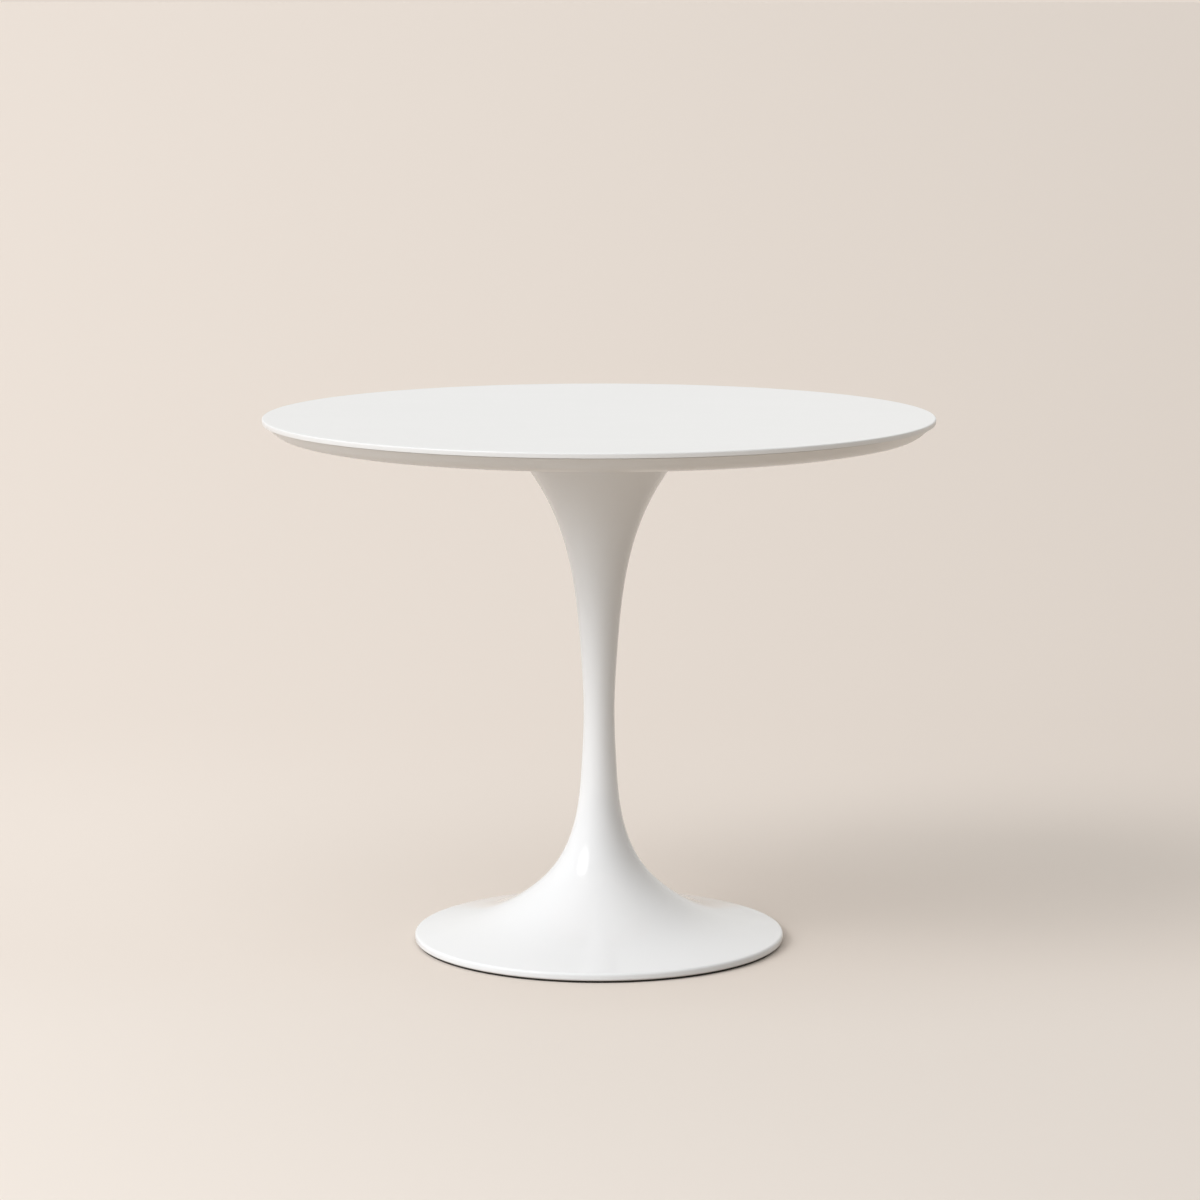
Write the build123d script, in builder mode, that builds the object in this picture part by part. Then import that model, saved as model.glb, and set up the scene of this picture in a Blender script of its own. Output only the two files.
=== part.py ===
from build123d import *
import os
from math import cos, pi

# Round pedestal table. Millimetres, +Z up, origin at the centre of the floor ring's underside.
# A white lacquered disc top stands on one cast trumpet-shaped pedestal. A threaded rod inside the
# stem pulls the pedestal up against the top, an iron ring weights the foot, and four small
# levelling glides can be wound down inside the floor ring.

# ---- driving dimensions ----
TABLE_HEIGHT = 729.0
TOP_RADIUS = 457.0
TOP_THICKNESS = 30.5
FOOT_RADIUS = 254.8
FOOT_UNDERSIDE = 3.0  # height of the casting's lower face, standing on the rubber ring

# ---- tabletop edge: an upright lip, a shadow gap, then an underside bevel in two slopes ----
LIP_HEIGHT = 7.0
LIP_DRAFT = 0.4
LIP_ROUND = 2.0
LIP_OVERHANG = 3.6
GAP_HEIGHT = 0.8
GAP_DEPTH = 2.0
KNEE_RADIUS = 434.8
KNEE_DROP = 24.2
FLAT_RADIUS = 403.5
BEVEL_BLEND = 45.0

UNDERSIDE = TABLE_HEIGHT - TOP_THICKNESS
BEVEL_RADIUS = TOP_RADIUS - LIP_DRAFT - LIP_OVERHANG

# ---- pedestal: outer skin and core, as (radius, height) from the top rim to the foot ----
# The core follows the skin about 7 mm inside it, which is the casting's wall.
GASKET = 1.5
RIM_TOP = UNDERSIDE - GASKET
FLARE_RADIUS = 127.5
RIM_LAND = 8.0
GASKET_INNER = 120.0
GASKET_OUTER = 127.0
OUTER_SKIN = [
    (FLARE_RADIUS, RIM_TOP),
    (95.3, 655.0),
    (63.9, 600.0),
    (35.2, 500.0),
    (24.8, 400.0),
    (21.3, 322.0),
    (23.9, 250.0),
    (35.8, 160.0),
    (61.6, 105.0),
    (98.4, 68.7),
    (151.5, 38.3),
    (210.0, 21.6),
    (FOOT_RADIUS, 12.8),
]
UPPER_CORE = [
    (FLARE_RADIUS - RIM_LAND, RIM_TOP),
    (89.3, 658.8),
    (57.5, 603.0),
    (28.3, 501.0),
    (17.8, 400.0),
    (14.3, 322.0),
    (16.9, 250.0),
    (26.8, 166.0),
]
WEB_TOP = 166.0
WEB_UNDERSIDE = 152.0
FOOT_CORE = [
    (29.1, WEB_UNDERSIDE),
    (55.6, 101.0),
    (93.7, 63.0),
    (149.0, 31.5),
    (184.0, 20.0),
]
FOOT_CORE_RADIUS = 184.0
RIM_ROUND = 4.0
RIM_FOOT_ROUND = 3.0

# ---- floor ring ----
RING_OUTER = 251.0
RING_INNER = 238.0
TONGUE_INNER = 242.0
TONGUE_OUTER = 247.0
TONGUE_HEIGHT = 4.0
RING_EDGE_ROUND = 0.8

# ---- mounting plate, its screws and inserts ----
PLATE_RADIUS = 110.0
PLATE_THICKNESS = 6.0
PLATE_EDGE_ROUND = 1.0
COUNTERSINK_ANGLE = 45.0
PLATE_SCREWS = 8
PLATE_SCREW_CIRCLE = 88.0
SPIGOT_RADIUS = 13.0
HUB_RADIUS = 19.0
HUB_LENGTH = 30.0
HUB_CHAMFER = 1.5
M6_RADIUS = 3.0
M6_HEAD_RADIUS = 6.0
M6_HEAD_HEIGHT = 3.0
M6_LENGTH = 20.0
INSERT_RADIUS = 5.0
INSERT_LENGTH = 15.0

# ---- tie rod, washers and nut ----
M12_RADIUS = 6.0
ROD_CLEARANCE = 0.7
ROD_CHAMFER = 1.0
ROD_TOP = UNDERSIDE - 2.0
ROD_BOTTOM = 128.0
WIDE_WASHER_RADIUS = 18.0
WIDE_WASHER_THICKNESS = 3.0
LOCK_WASHER_RADIUS = 10.5
LOCK_WASHER_THICKNESS = 3.0
LOCK_WASHER_SPLIT = 2.0
LOCK_WASHER_CLEARANCE = 0.2
M12_ACROSS_FLATS = 18.0
M12_NUT_HEIGHT = 10.0

# ---- ballast ring and its bolts ----
BALLAST_INNER = 60.0
BALLAST_OUTER = 150.0
BALLAST_BOTTOM = 14.0
BALLAST_TOP = 50.0
BALLAST_SHOULDER = 106.0
BALLAST_EDGE_TOP = 27.0
BALLAST_BOLTS = 4
BALLAST_BOLT_CIRCLE = 84.0
BOSS_RADIUS = 9.0
BOSS_HOLE_DEPTH = 13.0
BOLT_CLEARANCE = 0.5
M8_RADIUS = 4.0
M8_LENGTH = 40.0
M8_HEAD_HEIGHT = 5.3
M8_ACROSS_FLATS = 13.0
M8_WASHER_RADIUS = 8.0
M8_WASHER_THICKNESS = 1.6
BOLT_RECESS_RADIUS = 11.0
BOLT_RECESS_DEPTH = 8.0

# ---- base cover ----
COVER_RADIUS = 195.0
COVER_LEDGE_RADIUS = 196.0
COVER_THICKNESS = 1.5
COVER_TOP = 5.0
COVER_SCREWS = 6
COVER_SCREW_CIRCLE = 189.5
M4_RADIUS = 2.0
M4_HEAD_RADIUS = 3.5
M4_HEAD_HEIGHT = 1.8
M4_LENGTH = 9.0
M4_KEY_ACROSS_FLATS = 2.5
M4_KEY_DEPTH = 1.2
COVER_HOLE_CLEARANCE = 0.3

# ---- levelling glides ----
GLIDES = 4
GLIDE_CIRCLE = 214.0
GLIDE_FIRST_ANGLE = 45.0
GLIDE_RECESS_RADIUS = 13.5
GLIDE_RECESS_TOP = 7.0
GLIDE_HOLE_TOP = 16.2
RUNNING_FIT = 0.08
PAD_RADIUS = 12.0
PAD_BOTTOM = 0.5
PAD_TOP = 6.2
PAD_EDGE_ROUND = 1.0
COLLAR_RADIUS = 6.5
COLLAR_BOTTOM = 2.6
COLLAR_TOP = 4.6
COLLAR_PLAY = 0.3
COLLAR_END_PLAY = 0.2
STUD_TOP = 15.8
STUD_CHAMFER = 0.8
KEY_ACROSS_FLATS = 4.0
KEY_DEPTH = 4.5
KEY_ACCESS_RADIUS = 3.2


def hexagon_radius(across_flats):
    """Corner radius of a hexagon of that size across its flats."""
    return across_flats / (2 * cos(pi / 6))


def countersunk_screw(radius, length, head_radius, head_height):
    """Screw pointing up, with the face of its head at the origin."""
    with BuildPart() as screw:
        with BuildSketch(Plane.XZ):
            with BuildLine():
                Polyline(
                    (0, 0),
                    (head_radius, 0),
                    (radius, head_height),
                    (radius, length),
                    (0, length),
                    close=True,
                )
            make_face()
        revolve(axis=Axis.Z)
        with BuildSketch():
            RegularPolygon(hexagon_radius(KEY_ACROSS_FLATS), 6)
        extrude(amount=head_height, mode=Mode.SUBTRACT)
    return screw.part


def hex_bolt(radius, length, across_flats, head_height):
    """Bolt pointing up, with the bearing face of its head at the origin."""
    with BuildPart() as bolt:
        with BuildSketch():
            RegularPolygon(hexagon_radius(across_flats), 6)
        extrude(amount=-head_height)
        with BuildSketch():
            Circle(radius)
        extrude(amount=length)
    return bolt.part


def pan_screw(radius, length, head_radius, head_height):
    """Screw pointing up, with the bearing face of its rounded head at the origin."""
    with BuildPart() as screw:
        with BuildSketch():
            Circle(head_radius)
        extrude(amount=-head_height)
        fillet(screw.edges().sort_by(Axis.Z)[0], head_height / 2)
        with BuildSketch(Plane.XY.offset(-head_height)):
            RegularPolygon(hexagon_radius(M4_KEY_ACROSS_FLATS), 6)
        extrude(amount=M4_KEY_DEPTH, mode=Mode.SUBTRACT)
        with BuildSketch():
            Circle(radius)
        extrude(amount=length)
    return screw.part


def washer(inner, outer, thickness):
    """Flat ring lying on the origin's plane."""
    with BuildPart() as ring:
        with BuildSketch():
            Circle(outer)
            Circle(inner, mode=Mode.SUBTRACT)
        extrude(amount=thickness)
    return ring.part


def glide_angle(number):
    return GLIDE_FIRST_ANGLE + number * 360 / GLIDES


os.makedirs("parts", exist_ok=True)

# ---- tabletop ----
with BuildPart() as tabletop:
    with BuildSketch(Plane.XZ) as top_outline:
        with BuildLine():
            Polyline(
                (0, TABLE_HEIGHT),
                (TOP_RADIUS, TABLE_HEIGHT),
                (TOP_RADIUS, TABLE_HEIGHT - LIP_ROUND - 1),
                (TOP_RADIUS - LIP_DRAFT, TABLE_HEIGHT - LIP_HEIGHT),
                (BEVEL_RADIUS - GAP_DEPTH, TABLE_HEIGHT - LIP_HEIGHT),
                (BEVEL_RADIUS - GAP_DEPTH, TABLE_HEIGHT - LIP_HEIGHT - GAP_HEIGHT),
                (BEVEL_RADIUS, TABLE_HEIGHT - LIP_HEIGHT - GAP_HEIGHT),
                (KNEE_RADIUS, TABLE_HEIGHT - KNEE_DROP),
                (FLAT_RADIUS, UNDERSIDE),
                (0, UNDERSIDE),
                close=True,
            )
        make_face()
        outer_corners = top_outline.vertices().group_by(Axis.X)[-1]
        fillet(outer_corners.sort_by(Axis.Y)[-1], LIP_ROUND)
        for corner_radius in (KNEE_RADIUS, FLAT_RADIUS):
            bevel_corner = top_outline.vertices().filter_by_position(Axis.X, corner_radius, corner_radius)
            fillet(bevel_corner, BEVEL_BLEND)
    revolve(axis=Axis.Z)
    with BuildSketch(Plane.XY.offset(UNDERSIDE)):
        with PolarLocations(PLATE_SCREW_CIRCLE, PLATE_SCREWS):
            Circle(INSERT_RADIUS)
    extrude(amount=INSERT_LENGTH, mode=Mode.SUBTRACT)
tabletop.part.label = "tabletop"
export_step(tabletop.part, "parts/tabletop.step")

# ---- threaded inserts in the top ----
with BuildPart() as top_inserts:
    with BuildSketch(Plane.XY.offset(UNDERSIDE)):
        with PolarLocations(PLATE_SCREW_CIRCLE, PLATE_SCREWS):
            Circle(INSERT_RADIUS)
            Circle(M6_RADIUS, mode=Mode.SUBTRACT)
    extrude(amount=INSERT_LENGTH)
top_inserts.part.label = "top_inserts"
export_step(top_inserts.part, "parts/top_inserts.step")

# ---- steel mounting plate under the top ----
PLATE_FACE = UNDERSIDE - PLATE_THICKNESS
with BuildPart() as mounting_plate:
    with BuildSketch(Plane.XY.offset(PLATE_FACE)):
        Circle(PLATE_RADIUS)
        Circle(SPIGOT_RADIUS, mode=Mode.SUBTRACT)
        with PolarLocations(PLATE_SCREW_CIRCLE, PLATE_SCREWS):
            Circle(M6_RADIUS, mode=Mode.SUBTRACT)
    extrude(amount=PLATE_THICKNESS)
    fillet(mounting_plate.edges().group_by(Axis.Z)[0].sort_by(SortBy.LENGTH)[-1], PLATE_EDGE_ROUND)
    with BuildSketch(Plane.XY.offset(PLATE_FACE)):
        with PolarLocations(PLATE_SCREW_CIRCLE, PLATE_SCREWS):
            Circle(M6_HEAD_RADIUS)
    extrude(amount=M6_HEAD_HEIGHT, taper=COUNTERSINK_ANGLE, mode=Mode.SUBTRACT)
mounting_plate.part.label = "mounting_plate"
export_step(mounting_plate.part, "parts/mounting_plate.step")

# ---- countersunk screws that hold the plate to the top ----
plate_screw = countersunk_screw(M6_RADIUS, M6_LENGTH, M6_HEAD_RADIUS, M6_HEAD_HEIGHT)
with BuildPart(Plane.XY.offset(PLATE_FACE)) as plate_screws:
    with PolarLocations(PLATE_SCREW_CIRCLE, PLATE_SCREWS):
        add(plate_screw)
plate_screws.part.label = "plate_screws"
export_step(plate_screws.part, "parts/plate_screws.step")

# ---- threaded hub welded into the plate ----
with BuildPart() as threaded_hub:
    with BuildSketch(Plane.XY.offset(PLATE_FACE)):
        Circle(HUB_RADIUS)
    extrude(amount=-HUB_LENGTH)
    chamfer(threaded_hub.edges().sort_by(Axis.Z)[0], HUB_CHAMFER)
    with BuildSketch(Plane.XY.offset(PLATE_FACE)):
        Circle(SPIGOT_RADIUS)
    extrude(amount=PLATE_THICKNESS)
    with BuildSketch(Plane.XY.offset(PLATE_FACE - HUB_LENGTH)):
        Circle(M12_RADIUS)
    extrude(amount=ROD_TOP - PLATE_FACE + HUB_LENGTH, mode=Mode.SUBTRACT)
threaded_hub.part.label = "threaded_hub"
export_step(threaded_hub.part, "parts/threaded_hub.step")

# ---- tie rod, washers and nut ----
with BuildPart() as tie_rod:
    with BuildSketch(Plane.XY.offset(ROD_BOTTOM)):
        Circle(M12_RADIUS)
    extrude(amount=ROD_TOP - ROD_BOTTOM)
    chamfer(tie_rod.edges().sort_by(Axis.Z)[0], ROD_CHAMFER)
tie_rod.part.label = "tie_rod"
export_step(tie_rod.part, "parts/tie_rod.step")

WIDE_WASHER_FACE = WEB_UNDERSIDE - WIDE_WASHER_THICKNESS
with BuildPart(Plane.XY.offset(WIDE_WASHER_FACE)) as wide_washer:
    add(washer(M12_RADIUS + ROD_CLEARANCE, WIDE_WASHER_RADIUS, WIDE_WASHER_THICKNESS))
wide_washer.part.label = "wide_washer"
export_step(wide_washer.part, "parts/wide_washer.step")

LOCK_WASHER_FACE = WIDE_WASHER_FACE - LOCK_WASHER_THICKNESS
with BuildPart() as lock_washer:
    with BuildSketch(Plane.XY.offset(LOCK_WASHER_FACE)):
        Circle(LOCK_WASHER_RADIUS)
        Circle(M12_RADIUS + LOCK_WASHER_CLEARANCE, mode=Mode.SUBTRACT)
        with Locations((LOCK_WASHER_RADIUS, 0)):
            Rectangle(2 * LOCK_WASHER_RADIUS, LOCK_WASHER_SPLIT, mode=Mode.SUBTRACT)
    extrude(amount=LOCK_WASHER_THICKNESS)
lock_washer.part.label = "lock_washer"
export_step(lock_washer.part, "parts/lock_washer.step")

NUT_FACE = LOCK_WASHER_FACE - M12_NUT_HEIGHT
with BuildPart() as tie_nut:
    with BuildSketch(Plane.XY.offset(NUT_FACE)):
        RegularPolygon(hexagon_radius(M12_ACROSS_FLATS), 6)
        Circle(M12_RADIUS, mode=Mode.SUBTRACT)
    extrude(amount=M12_NUT_HEIGHT)
tie_nut.part.label = "tie_nut"
export_step(tie_nut.part, "parts/tie_nut.step")

# ---- gasket between the flare's rim and the top ----
with BuildPart(Plane.XY.offset(RIM_TOP)) as rim_gasket:
    add(washer(GASKET_INNER, GASKET_OUTER, GASKET))
rim_gasket.part.label = "rim_gasket"
export_step(rim_gasket.part, "parts/rim_gasket.step")

# ---- hollow of the foot, left around four bosses for the ballast bolts ----
with BuildPart() as foot_hollow:
    with BuildSketch(Plane.XZ):
        with BuildLine():
            Spline(FOOT_CORE)
            Polyline(
                FOOT_CORE[-1],
                (FOOT_CORE_RADIUS, FOOT_UNDERSIDE),
                (0, FOOT_UNDERSIDE),
                (0, WEB_UNDERSIDE),
                FOOT_CORE[0],
            )
        make_face()
    revolve(axis=Axis.Z)
    with BuildSketch(Plane.XY.offset(BALLAST_TOP)):
        with PolarLocations(BALLAST_BOLT_CIRCLE, BALLAST_BOLTS):
            Circle(BOSS_RADIUS)
    extrude(amount=WEB_UNDERSIDE - BALLAST_TOP, mode=Mode.SUBTRACT)

# ---- cast pedestal: foot, stem and flare in one piece ----
with BuildPart() as pedestal:
    with BuildSketch(Plane.XZ) as casting:
        with BuildLine():
            Spline(OUTER_SKIN)
            Polyline(
                OUTER_SKIN[-1],
                (FOOT_RADIUS, FOOT_UNDERSIDE),
                (0, FOOT_UNDERSIDE),
                (0, RIM_TOP),
                OUTER_SKIN[0],
            )
        make_face()
        rim_corners = casting.vertices().group_by(Axis.X)[-1].sort_by(Axis.Y)
        fillet(rim_corners[-1], RIM_ROUND)
        fillet(rim_corners[0], RIM_FOOT_ROUND)
    revolve(axis=Axis.Z)
    with BuildSketch(Plane.XZ):
        with BuildLine():
            Spline(UPPER_CORE)
            Polyline(UPPER_CORE[-1], (0, WEB_TOP), (0, RIM_TOP), UPPER_CORE[0])
        make_face()
    revolve(axis=Axis.Z, mode=Mode.SUBTRACT)
    add(foot_hollow.part, mode=Mode.SUBTRACT)
    with BuildSketch(Plane.XY.offset(WEB_UNDERSIDE)):
        Circle(M12_RADIUS + ROD_CLEARANCE)
    extrude(amount=WEB_TOP - WEB_UNDERSIDE, mode=Mode.SUBTRACT)
    with BuildSketch(Plane.XY.offset(BALLAST_TOP)):
        with PolarLocations(BALLAST_BOLT_CIRCLE, BALLAST_BOLTS):
            Circle(M8_RADIUS)
    extrude(amount=BOSS_HOLE_DEPTH, mode=Mode.SUBTRACT)
    with BuildSketch(Plane.XY.offset(FOOT_UNDERSIDE)):
        Circle(COVER_LEDGE_RADIUS)
    extrude(amount=COVER_TOP - FOOT_UNDERSIDE, mode=Mode.SUBTRACT)
    with BuildSketch(Plane.XY.offset(COVER_TOP)):
        with PolarLocations(COVER_SCREW_CIRCLE, COVER_SCREWS):
            Circle(M4_RADIUS)
    extrude(amount=M4_LENGTH, mode=Mode.SUBTRACT)
    with BuildSketch(Plane.XY.offset(FOOT_UNDERSIDE)):
        Circle(TONGUE_OUTER)
        Circle(TONGUE_INNER, mode=Mode.SUBTRACT)
    extrude(amount=TONGUE_HEIGHT, mode=Mode.SUBTRACT)
    with BuildSketch(Plane.XY.offset(FOOT_UNDERSIDE)):
        with PolarLocations(GLIDE_CIRCLE, GLIDES, start_angle=GLIDE_FIRST_ANGLE):
            Circle(GLIDE_RECESS_RADIUS)
    extrude(amount=GLIDE_RECESS_TOP - FOOT_UNDERSIDE, mode=Mode.SUBTRACT)
    with BuildSketch(Plane.XY.offset(GLIDE_RECESS_TOP)):
        with PolarLocations(GLIDE_CIRCLE, GLIDES, start_angle=GLIDE_FIRST_ANGLE):
            Circle(M8_RADIUS + RUNNING_FIT)
    extrude(amount=GLIDE_HOLE_TOP - GLIDE_RECESS_TOP, mode=Mode.SUBTRACT)
pedestal.part.label = "pedestal"
export_step(pedestal.part, "parts/pedestal.step")

# ---- iron ballast ring ----
BOLT_SEAT = BALLAST_BOTTOM + BOLT_RECESS_DEPTH
with BuildPart() as ballast_ring:
    with BuildSketch(Plane.XZ):
        with BuildLine():
            Polyline(
                (BALLAST_INNER, BALLAST_BOTTOM),
                (BALLAST_OUTER, BALLAST_BOTTOM),
                (BALLAST_OUTER, BALLAST_EDGE_TOP),
                (BALLAST_SHOULDER, BALLAST_TOP),
                (BALLAST_INNER, BALLAST_TOP),
                close=True,
            )
        make_face()
    revolve(axis=Axis.Z)
    with BuildSketch(Plane.XY.offset(BALLAST_BOTTOM)):
        with PolarLocations(BALLAST_BOLT_CIRCLE, BALLAST_BOLTS):
            Circle(BOLT_RECESS_RADIUS)
    extrude(amount=BOLT_RECESS_DEPTH, mode=Mode.SUBTRACT)
    with BuildSketch(Plane.XY.offset(BOLT_SEAT)):
        with PolarLocations(BALLAST_BOLT_CIRCLE, BALLAST_BOLTS):
            Circle(M8_RADIUS + BOLT_CLEARANCE)
    extrude(amount=BALLAST_TOP - BOLT_SEAT, mode=Mode.SUBTRACT)
ballast_ring.part.label = "ballast_ring"
export_step(ballast_ring.part, "parts/ballast_ring.step")

# ---- ballast washers and bolts ----
HEAD_FACE = BOLT_SEAT - M8_WASHER_THICKNESS
ballast_washer = washer(M8_RADIUS + BOLT_CLEARANCE, M8_WASHER_RADIUS, M8_WASHER_THICKNESS)
with BuildPart(Plane.XY.offset(HEAD_FACE)) as ballast_washers:
    with PolarLocations(BALLAST_BOLT_CIRCLE, BALLAST_BOLTS):
        add(ballast_washer)
ballast_washers.part.label = "ballast_washers"
export_step(ballast_washers.part, "parts/ballast_washers.step")

ballast_bolt = hex_bolt(M8_RADIUS, M8_LENGTH, M8_ACROSS_FLATS, M8_HEAD_HEIGHT)
with BuildPart(Plane.XY.offset(HEAD_FACE)) as ballast_bolts:
    with PolarLocations(BALLAST_BOLT_CIRCLE, BALLAST_BOLTS):
        add(ballast_bolt)
ballast_bolts.part.label = "ballast_bolts"
export_step(ballast_bolts.part, "parts/ballast_bolts.step")

# ---- sheet cover over the foot's hollow, and its screws ----
COVER_FACE = COVER_TOP - COVER_THICKNESS
with BuildPart() as base_cover:
    with BuildSketch(Plane.XY.offset(COVER_FACE)):
        Circle(COVER_RADIUS)
        with PolarLocations(COVER_SCREW_CIRCLE, COVER_SCREWS):
            Circle(M4_RADIUS + COVER_HOLE_CLEARANCE, mode=Mode.SUBTRACT)
    extrude(amount=COVER_THICKNESS)
base_cover.part.label = "base_cover"
export_step(base_cover.part, "parts/base_cover.step")

cover_screw = pan_screw(M4_RADIUS, M4_LENGTH, M4_HEAD_RADIUS, M4_HEAD_HEIGHT)
with BuildPart(Plane.XY.offset(COVER_FACE)) as cover_screws:
    with PolarLocations(COVER_SCREW_CIRCLE, COVER_SCREWS):
        add(cover_screw)
cover_screws.part.label = "cover_screws"
export_step(cover_screws.part, "parts/cover_screws.step")

# ---- black rubber ring that the table stands on ----
with BuildPart() as floor_ring:
    with BuildSketch():
        Circle(RING_OUTER)
        Circle(RING_INNER, mode=Mode.SUBTRACT)
    extrude(amount=FOOT_UNDERSIDE)
    fillet(floor_ring.edges().group_by(Axis.Z)[0], RING_EDGE_ROUND)
    with BuildSketch(Plane.XY.offset(FOOT_UNDERSIDE)):
        Circle(TONGUE_OUTER)
        Circle(TONGUE_INNER, mode=Mode.SUBTRACT)
    extrude(amount=TONGUE_HEIGHT)
floor_ring.part.label = "floor_ring"
export_step(floor_ring.part, "parts/floor_ring.step")

# ---- levelling glides: a pad that slides and a threaded stud that turns inside it ----
with BuildPart() as pad_at_centre:
    with BuildSketch(Plane.XY.offset(PAD_BOTTOM)):
        Circle(PAD_RADIUS)
    extrude(amount=PAD_TOP - PAD_BOTTOM)
    fillet(pad_at_centre.edges().group_by(Axis.Z)[0], PAD_EDGE_ROUND)
    with BuildSketch(Plane.XY.offset(PAD_BOTTOM)):
        Circle(KEY_ACCESS_RADIUS)
    extrude(amount=COLLAR_BOTTOM - PAD_BOTTOM, mode=Mode.SUBTRACT)
    with BuildSketch(Plane.XY.offset(COLLAR_BOTTOM - COLLAR_END_PLAY)):
        Circle(COLLAR_RADIUS + COLLAR_PLAY)
    extrude(amount=COLLAR_TOP - COLLAR_BOTTOM + 2 * COLLAR_END_PLAY, mode=Mode.SUBTRACT)
    with BuildSketch(Plane.XY.offset(COLLAR_TOP)):
        Circle(M8_RADIUS + RUNNING_FIT)
    extrude(amount=PAD_TOP - COLLAR_TOP, mode=Mode.SUBTRACT)

with BuildPart() as stud_at_centre:
    with BuildSketch(Plane.XY.offset(COLLAR_BOTTOM)):
        Circle(COLLAR_RADIUS)
    extrude(amount=COLLAR_TOP - COLLAR_BOTTOM)
    with BuildSketch(Plane.XY.offset(COLLAR_TOP)):
        Circle(M8_RADIUS)
    extrude(amount=STUD_TOP - COLLAR_TOP)
    chamfer(stud_at_centre.edges().sort_by(Axis.Z)[-1], STUD_CHAMFER)
    with BuildSketch(Plane.XY.offset(COLLAR_BOTTOM)):
        RegularPolygon(hexagon_radius(KEY_ACROSS_FLATS), 6)
    extrude(amount=KEY_DEPTH, mode=Mode.SUBTRACT)

for number in range(GLIDES):
    with BuildPart() as glide_pad:
        with PolarLocations(GLIDE_CIRCLE, 1, start_angle=glide_angle(number)):
            add(pad_at_centre.part)
    glide_pad.part.label = f"glide_pad_{number + 1}"
    export_step(glide_pad.part, f"parts/glide_pad_{number + 1}.step")
    with BuildPart() as glide_stud:
        with PolarLocations(GLIDE_CIRCLE, 1, start_angle=glide_angle(number)):
            add(stud_at_centre.part)
    glide_stud.part.label = f"glide_stud_{number + 1}"
    export_step(glide_stud.part, f"parts/glide_stud_{number + 1}.step")
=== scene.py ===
# %% [markdown]
# # A round pedestal table
#
# The engineering model is already made: a lacquered disc top, one trumpet-shaped casting, a rubber
# ring on the floor and the hidden ironmongery that holds them together. This lesson opens that
# model as a fixed frame and gives it its looks: smooth skins for the turned parts, a finish for
# every piece, soft light and a camera. Positions are read from the frame wherever it gives them.

# %% Open the frame
import math

import bmesh
import bpy
import numpy as np
from mathutils import Matrix, Vector


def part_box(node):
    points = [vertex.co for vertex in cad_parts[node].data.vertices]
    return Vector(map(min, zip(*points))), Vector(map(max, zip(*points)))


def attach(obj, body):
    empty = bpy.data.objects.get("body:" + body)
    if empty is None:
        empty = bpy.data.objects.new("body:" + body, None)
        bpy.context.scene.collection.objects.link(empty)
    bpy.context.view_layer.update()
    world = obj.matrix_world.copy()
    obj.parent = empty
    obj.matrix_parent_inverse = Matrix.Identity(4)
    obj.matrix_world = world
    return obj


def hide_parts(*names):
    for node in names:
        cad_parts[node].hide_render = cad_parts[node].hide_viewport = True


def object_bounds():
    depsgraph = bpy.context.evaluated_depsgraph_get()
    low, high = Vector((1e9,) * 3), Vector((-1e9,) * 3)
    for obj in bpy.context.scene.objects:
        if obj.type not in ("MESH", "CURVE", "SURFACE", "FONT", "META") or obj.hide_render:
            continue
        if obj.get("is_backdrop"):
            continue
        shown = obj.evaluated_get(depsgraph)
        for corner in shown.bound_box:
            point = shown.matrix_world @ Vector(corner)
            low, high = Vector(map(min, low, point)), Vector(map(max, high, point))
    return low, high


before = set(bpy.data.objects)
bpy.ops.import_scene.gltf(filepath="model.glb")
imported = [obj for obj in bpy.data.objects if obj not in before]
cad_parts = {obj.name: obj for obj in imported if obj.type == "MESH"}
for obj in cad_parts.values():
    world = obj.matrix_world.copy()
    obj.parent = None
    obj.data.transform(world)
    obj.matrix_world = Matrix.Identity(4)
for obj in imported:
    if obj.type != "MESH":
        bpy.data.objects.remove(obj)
cad_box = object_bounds()
MM = 0.001

# %% [markdown]
# ## The camera
#
# A product shot uses a long lens from a few metres away, so that the round top stays a flat, calm
# ellipse. The camera stands a little above the top and looks slightly down. The tiny sideways
# shift sets the table a hair off the middle of the frame.

# %% Camera
CAMERA_DISTANCE = 5.3903
CAMERA_HEIGHT = 1.2868
CAMERA_PITCH = math.radians(8.563)
CAMERA_LENS = 119.46
CAMERA_SHIFT = 0.0008
CAMERA_CLIP_END = 5000

camera = bpy.data.objects.new("camera", bpy.data.cameras.new("camera"))
camera.location = (0, -CAMERA_DISTANCE, CAMERA_HEIGHT)
camera.rotation_euler = (math.pi / 2 - CAMERA_PITCH, 0, 0)
camera.data.lens = CAMERA_LENS
camera.data.shift_x = CAMERA_SHIFT
camera.data.clip_end = CAMERA_CLIP_END
bpy.context.scene.collection.objects.link(camera)
bpy.context.scene.camera = camera
print("camera height", camera.location.z, "m, lens", camera.data.lens, "mm")

# %% [markdown]
# ## Writing node networks as sums
#
# A finish is a small network of nodes. Wiring it by hand is slow to read, so a socket is wrapped
# in a class that knows arithmetic: `0.3 + 0.1 * grain` adds the two Math nodes by itself. Every
# other node comes from one method, which takes the type, the settings and what its sockets get.


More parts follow.
